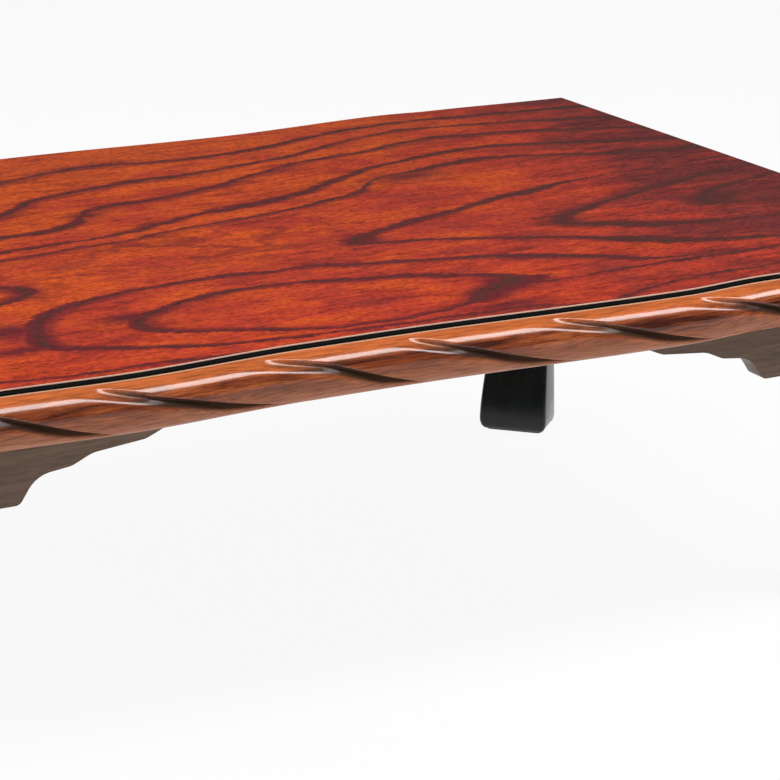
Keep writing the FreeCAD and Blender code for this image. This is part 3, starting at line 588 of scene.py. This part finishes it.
eye_along, eye_across, eye_square = from_oval(veneer, *EYE)
eye_out = calculate(veneer, "SQRT", eye_square)
eye_turn = calculate(veneer, "ARCTAN2", eye_across, eye_along)
eye_turn = calculate(veneer, "MULTIPLY", eye_turn, 180 / math.pi)
figure = [
    ring_count(veneer, across, along, BACK_LINES, BACK_RIM),
    ring_count(veneer, along, across, RIGHT_ARCHES, ARCH_RIM),
    ring_count(veneer, along, across, LEFT_ARCHES, ARCH_RIM),
    ring_count(veneer, eye_out, eye_turn, EYE_RINGS, EYE_RIM, EYE_REACH, EYE_HEIGHT),
    *(ring_count(veneer, across, along, (points,), FRONT_RIM) for points in FRONT_LINES),
]

halo = 0.0
line = 0.0
fine = 0.0
for count in figure:
    place = calculate(veneer, "FRACT", calculate(veneer, "ADD", count, 0.5))
    halo = calculate(veneer, "MAXIMUM", halo, level_ramp(veneer, place, HALO_PROFILE, "EASE"))
    line = calculate(veneer, "MAXIMUM", line, level_ramp(veneer, place, LINE_PROFILE, "EASE"))
    ripple = calculate(veneer, "SINE", calculate(veneer, "MULTIPLY", count, FINE_RINGS))
    fine = calculate(veneer, "MAXIMUM", fine, ripple)
for blot in BLOTS:
    halo = calculate(veneer, "MAXIMUM", halo, soft_oval(veneer, blot))

# Ripples of burr fill the plain patch between the back lines and the eye
burr_place = place_on_piece(veneer, (0.7, 1, 0), (0, 4, 0))
burr = noise(veneer, burr_place, scale=20, detail=2, roughness=0.5, distortion=0.6)
burr = calculate(veneer, "SINE", calculate(veneer, "MULTIPLY", burr, BURR_RIPPLES))
burr = level_ramp(veneer, burr, ((0.1, 0), (1.0, 0.6)))
burr = calculate(veneer, "MULTIPLY", burr, soft_oval(veneer, BURR))
halo = calculate(veneer, "MAXIMUM", halo, burr)

# The dark comes and goes along the lines and breaks up into grain and specks
strength_place = place_on_piece(veneer, (0.5, 1, 0), (1, 5, 0))
strength = noise(veneer, strength_place, scale=18, detail=3, roughness=0.6)
strength = calculate(veneer, "MULTIPLY_ADD", strength, DARK_CHANGE, DARK_LEAST)
strength = calculate(veneer, "MULTIPLY_ADD", spot["Y"], DARK_BACK, strength)
grain_place = place_on_piece(veneer, (0.5, 1, 1), (6, 3, 0))
grain = noise(veneer, grain_place, scale=340, detail=4, roughness=0.75)
halo_grain = calculate(veneer, "MULTIPLY_ADD", grain, HALO_CHANGE, HALO_LEAST)
halo = calculate(veneer, "MULTIPLY", halo, strength)
halo = calculate(veneer, "MULTIPLY", halo, halo_grain, clamp=True)
speckle_place = place_on_piece(veneer, (0.3, 1, 1), (2, 0, 0))
speckle = noise(veneer, speckle_place, scale=420, detail=2, roughness=0.6)
speckle = level_ramp(veneer, speckle, ((0.44, 0), (0.58, 1.4)))
line = calculate(veneer, "MULTIPLY", line, strength)
line = calculate(veneer, "MULTIPLY", line, speckle, clamp=True)

# The ground colour, then wisps, grain and fine rings, then the dark lines, pores and rim
cloud = noise(veneer, place_on_piece(veneer, (0.55, 1, 1)), scale=26, detail=4, roughness=0.6)
# The ground colour takes painted shade towards the right end and the front, over the stain's cloud
painted_dusk = add_node(
    veneer,
    "ShaderNodeMapRange",
    {"Value": along, **PAINTED_DUSK},
    interpolation_type="SMOOTHSTEP",
).outputs[0]
shade = calculate(veneer, "MULTIPLY_ADD", along, PAINTED_SHADE_ALONG, painted_dusk)
shade = calculate(veneer, "MULTIPLY_ADD", spot["Y"], PAINTED_SHADE_ACROSS, shade)
shade = calculate(veneer, "MULTIPLY_ADD", cloud, SHADE_CLOUD, shade)
shade = calculate(veneer, "SUBTRACT", shade, SHADE_LEVEL)
tone = ramp(veneer, shade, ((0.1, VENEER_ORANGE), (0.5, VENEER_RED), (0.95, VENEER_DUSK)))
wisp_place = place_on_piece(veneer, (0.2, 1, 1))
wisps = noise(veneer, wisp_place, scale=70, detail=4, roughness=0.65, distortion=1.2)
pores = noise(veneer, place_on_piece(veneer, (0.35, 1, 1)), scale=520, detail=3, roughness=0.75)
fine_tone = calculate(veneer, "MULTIPLY_ADD", fine, -FINE_DARK, 1 - FINE_DARK / 2)
tone = mix(veneer, 1.0, tone, ramp(veneer, wisps, WISP_TONES), "MULTIPLY")
tone = mix(veneer, 1.0, tone, ramp(veneer, grain, GRAIN_TONES), "MULTIPLY")
tone = mix(veneer, 1.0, tone, fine_tone, "MULTIPLY")
# The late wood darkens towards the right end with the same painted shade
late_painted_dusk = calculate(veneer, "MULTIPLY_ADD", along, LATE_ALONG, LATE_START, clamp=True)
tone = mix(veneer, halo, tone, mix(veneer, late_painted_dusk, VENEER_LATE, VENEER_LINE))
tone = mix(veneer, line, tone, VENEER_LINE)
tone = mix(veneer, 1.0, tone, ramp(veneer, pores, PORE_TONES), "MULTIPLY")
rim_down = add_node(veneer, "ShaderNodeAttribute", {}, attribute_name="rim").outputs["Fac"]
# The pale band on the arris is a painted highlight, where the lamp catches the rounded rim
painted_rim_highlight = level_ramp(veneer, rim_down, ((0.0, 0), (0.1, 1)))
tone = mix(veneer, painted_rim_highlight, tone, VENEER_PAINTED_HIGHLIGHT)
stained = level_ramp(veneer, rim_down, ((0.5, 0), (0.62, 1)))
tone = mix(veneer, stained, tone, BLACK_STAIN)
finish_surface(veneer, tone, pores, PORE_DEPTH)
settle(veneer_sheet, "veneer_sheet", veneer, "top_veneer")

# The end lippings are strips of solid wood glued to the short ends of the core. Their face is
# gently bowed, and they are stained like the top.
LIPPING_LIGHT = (0.30, 0.055, 0.025, 1)
LIPPING_DARK = (0.16, 0.03, 0.02, 1)
LIPPING_EASE = 0.0008

lipping = grained_wood("lipping_wood", "y", LIPPING_LIGHT, LIPPING_DARK, pores=0.75)
for end in SHORT_ENDS:
    strip = eased_copy("end_lipping_" + end, LIPPING_EASE)
    settle(strip, "lipping_" + end, lipping, "end_lipping_" + end)

# The rope edges are solid mouldings carved by hand: strands wind round a half-round, and the
# grooves between them start below the black line and run out before the underside. The finish
# is a red-brown stain, wiped darker in the grooves, under a thick glossy lacquer.
ROPE_RADII = {"front": 0.0201, "back": 0.0195}
ROPE_SIGNS = {"front": -1, "back": 1}
ROPE_OUT = 0.0037
ROPE_DROP = 0.0237
SEAT_OUT = 0.0002
LINE_WIDTH = 0.0044
LINE_FLOOR = 0.0097
GROOVE_DEPTH = 0.0036
RIM_ABOVE = 0.0008
WALL_WIDTH = 0.0022
COVE_WIDTH = 0.014
GROOVE_TURN = math.radians(31)
GROOVE_TOP = math.radians(78)
GROOVE_LOW = math.radians(-74)
FADE_TURN = math.radians(46)
STRAND_TURN = math.radians(112)
GROOVE_PLACES = (-0.624, -0.494, -0.364, -0.25, -0.102, 0.0055, 0.139, 0.274, 0.4, 0.528, 0.656)
ROPE_STATIONS = 640
ROPE_FACETS = 90
ROPE_ROWS = ROPE_FACETS + 3


def winding(along):
    """Number of grooves passed on the way along the rope."""
    for index, (start, end) in enumerate(zip(GROOVE_PLACES, GROOVE_PLACES[1:])):
        if along <= end:
            return index + (along - start) / (end - start)


def groove_share(along, turn, radius):
    """How far a groove is cut in at a place on the rope, from 0 to 1: a crisp wall under the
    strand above it, and a long cove that runs out on the strand below."""
    groove = GROOVE_TURN - STRAND_TURN * winding(along)
    below = -radius * math.remainder(turn - groove, STRAND_TURN)
    wall = held((below + RIM_ABOVE) / WALL_WIDTH)
    cove = held((below + RIM_ABOVE - WALL_WIDTH) / COVE_WIDTH)
    room = held(min(GROOVE_TOP - turn, turn - GROOVE_LOW) / FADE_TURN)
    fade = (1 - math.cos(math.pi * room)) / 2
    return fade * smooth(wall) * (1 - cove) ** 3 * (1 + 3 * cove)


def rope_point(along, step, radius):
    """Distance out from the arris, and down from the top, of a point round the section, and how
    far the groove is cut in there."""
    if step > ROPE_FACETS:
        return (SEAT_OUT, LINE_WIDTH)[step - ROPE_FACETS - 1], LINE_FLOOR, 0
    top_turn = math.acos((LINE_WIDTH - ROPE_OUT) / radius)
    low_turn = -math.acos((SEAT_OUT - ROPE_OUT) / radius)
    turn = top_turn + (low_turn - top_turn) * step / ROPE_FACETS
    share = groove_share(along, turn, radius)
    reach = radius - GROOVE_DEPTH * share
    return ROPE_OUT + reach * math.cos(turn), ROPE_DROP - reach * math.sin(turn), share


ROPE_DARK = (0.06, 0.013, 0.007, 1)
ROPE_MID = (0.19, 0.04, 0.013, 1)
ROPE_LIGHT = (0.33, 0.085, 0.026, 1)
ROPE_CROWN_STAIN_AND_PAINTED_LIGHT = (0.59, 0.145, 0.035, 1)
ROPE_UNDER_STAIN_AND_PAINTED_BOUNCE = (0.42, 0.15, 0.075, 1)
ROPE_PAINTED_EDGE_HIGHLIGHT = (0.55, 0.34, 0.22, 1)
ROPE_WIPED = (0.04, 0.024, 0.016, 1)
ROPE_FIBRE_DEPTH = 0.00004
ROPE_LACQUER = {
    "Coat_Weight": 1.0,
    "Coat_Roughness": 0.15,
    "Coat_IOR": 1.55,
    "Specular_IOR_Level": 0.0,
}
# Gloss lost in the wiped grooves, and how far the bands push the colours up the section
WIPED_DULL = 0.85
BAND_SHIFT = 0.12

rope_wood = new_material("rope_wood", **ROPE_LACQUER)
rope_place = place_on_piece(rope_wood, (0.05, 1, 1))
bands = noise(rope_wood, rope_place, scale=170, detail=5, roughness=0.65, distortion=0.3)
fibres = noise(rope_wood, rope_place, scale=800, detail=3, roughness=0.7)
height = add_node(rope_wood, "ShaderNodeAttribute", {}, attribute_name="height").outputs["Fac"]
# A pale band painted along the top arris of the rope, under the black line, is a painted highlight
painted_edge_highlight = level_ramp(rope_wood, height, ((0.96, 0), (0.985, 0.8)))
height = calculate(rope_wood, "MULTIPLY_ADD", bands, BAND_SHIFT, height)
# The lighter crown along the top of the rope is partly a lighter stain and partly painted light from
# above
crown_stain_and_painted_light = level_ramp(rope_wood, height, ((0.72, 0), (0.88, 0.6)), "EASE")
# The pale tan underside is partly stain and partly painted light bounced up from the white floor
under_stain_and_painted_bounce = level_ramp(rope_wood, height, ((0.43, 0.9), (0.65, 0)), "EASE")
streak = level_ramp(rope_wood, fibres, ((0.36, 0.55), (0.56, 1.1)))
wiped = add_node(rope_wood, "ShaderNodeAttribute", {}, attribute_name="groove").outputs["Fac"]
wiped = level_ramp(rope_wood, wiped, ((0.12, 0), (0.62, 0.95)), "EASE")
wiped_low = level_ramp(rope_wood, height, ((0.66, 1), (0.84, 0.45)), "EASE")
wiped = calculate(rope_wood, "MULTIPLY", wiped, wiped_low)
stain = ((0.38, ROPE_DARK), (0.5, ROPE_MID), (0.62, ROPE_LIGHT))
rope_colour = ramp(rope_wood, bands, stain, "EASE")
# Crown colour: partly stain, partly painted light falling from above
rope_colour = mix(rope_wood, crown_stain_and_painted_light, rope_colour, ROPE_CROWN_STAIN_AND_PAINTED_LIGHT)
# Underside colour: partly stain, partly painted bounce light from the floor
rope_colour = mix(rope_wood, under_stain_and_painted_bounce, rope_colour, ROPE_UNDER_STAIN_AND_PAINTED_BOUNCE)
rope_colour = mix(rope_wood, 1.0, rope_colour, streak, "MULTIPLY")
rope_colour = mix(rope_wood, wiped, rope_colour, ROPE_WIPED)
# The painted highlight along the rope's top arris goes on last
rope_colour = mix(rope_wood, painted_edge_highlight, rope_colour, ROPE_PAINTED_EDGE_HIGHLIGHT)
finish_surface(rope_wood, rope_colour, fibres, ROPE_FIBRE_DEPTH)
coat = calculate(rope_wood, "MULTIPLY_ADD", wiped, -WIPED_DULL, 1.0)
under_dull = level_ramp(rope_wood, height, ((0.5, 0.6), (0.68, 0)), "EASE")
coat = calculate(rope_wood, "SUBTRACT", coat, under_dull, clamp=True)
rope_surface = rope_wood.node_tree.nodes["Principled BSDF"]
rope_wood.node_tree.links.new(coat, rope_surface.inputs["Coat Weight"])

for side, sign in ROPE_SIGNS.items():
    bpy.ops.object.select_all(action="DESELECT")
    bpy.ops.mesh.primitive_grid_add(x_subdivisions=ROPE_STATIONS, y_subdivisions=ROPE_ROWS, size=1)
    rope = bpy.context.object
    groove_cut = rope.data.attributes.new("groove", "FLOAT", "POINT")
    section_height = rope.data.attributes.new("height", "FLOAT", "POINT")
    for vertex in rope.data.vertices:
        x = 2 * top_end * vertex.co.x
        row = round((vertex.co.y + 0.5) * ROPE_ROWS) % ROPE_ROWS
        out, drop, share = rope_point(-sign * x, row, ROPE_RADII[side])
        vertex.co = (x, sign * (edge_out(side, x) + out), veneer_high.z - drop)
        groove_cut.data[vertex.index].value = share
        section_height.data[vertex.index].value = 1 - held(row / ROPE_FACETS)
    bpy.ops.object.mode_set(mode="EDIT")
    bpy.ops.mesh.select_all(action="SELECT")
    bpy.ops.mesh.remove_doubles(threshold=MERGE_REACH)
    bpy.ops.mesh.select_all(action="DESELECT")
    bpy.ops.mesh.select_non_manifold()
    bpy.ops.mesh.fill_holes(sides=0)
    bpy.ops.mesh.select_all(action="SELECT")
    bpy.ops.mesh.normals_make_consistent(inside=False)
    bpy.ops.object.mode_set(mode="OBJECT")
    bpy.ops.object.shade_smooth_by_angle(angle=EDGE_ANGLE)
    settle(rope, "carved_rope_" + side, rope_wood, "rope_edge_" + side)

# The studio is a white floor that keeps a soft shadow, a long soft box over the front of the
# table, a second one to its left and a dim room.
FLOOR_SIZE = 120
FLOOR_PLACE = (0, 0, -0.0003)
FLOOR_WHITE = 0.85
FLOOR_GLOW = 0.93
ROOM_LIGHT = 0.1
# Name, place, size, power in watts, tilt and heading in degrees
SOFT_BOXES = (
    ("front_soft_box", (1.0, -1.08, 2.15), (3.6, 0.7), 80, 21, 0),
    ("left_soft_box", (-1.8, 0.5, 2.1), (1.6, 1.6), 44, 46.71, -105.52),
)

bpy.ops.object.select_all(action="DESELECT")
bpy.ops.mesh.primitive_plane_add(size=FLOOR_SIZE, location=FLOOR_PLACE)
floor = bpy.context.object
floor.name = "floor"
floor_white = new_material(
    "floor_white",
    Base_Color=grey(FLOOR_WHITE),
    Roughness=1.0,
    Specular_IOR_Level=0,
)
rays = add_node(floor_white, "ShaderNodeLightPath", {}).outputs
seen = calculate(floor_white, "MAXIMUM", rays["Is Camera Ray"], rays["Is Glossy Ray"])
seen = calculate(floor_white, "MAXIMUM", seen, rays["Is Transmission Ray"])
seen = calculate(floor_white, "MULTIPLY", seen, FLOOR_GLOW)
glow = add_node(floor_white, "ShaderNodeEmission", {"Color": grey(1), "Strength": 1.0})
floor_surface = floor_white.node_tree.nodes["Principled BSDF"]
both = add_node(
    floor_white,
    "ShaderNodeMixShader",
    {0: seen, 1: floor_surface.outputs[0], 2: glow.outputs[0]},
)
floor_out = floor_white.node_tree.nodes["Material Output"]
floor_white.node_tree.links.new(both.outputs[0], floor_out.inputs["Surface"])
floor.data.materials.append(floor_white)

for name, place, size, power, tilt, heading in SOFT_BOXES:
    bpy.ops.object.light_add(type="AREA", location=place)
    lamp = bpy.context.object
    lamp.name = name
    lamp.data.shape = "RECTANGLE"
    lamp.data.size, lamp.data.size_y = size
    lamp.data.energy = power
    lamp.visible_camera = False
    lamp.rotation_euler = (math.radians(tilt), 0, math.radians(heading))

world = bpy.data.worlds.new("dim_room")
world.use_nodes = True
bpy.context.scene.world = world
world.node_tree.nodes["Background"].inputs["Color"].default_value = grey(ROOM_LIGHT)
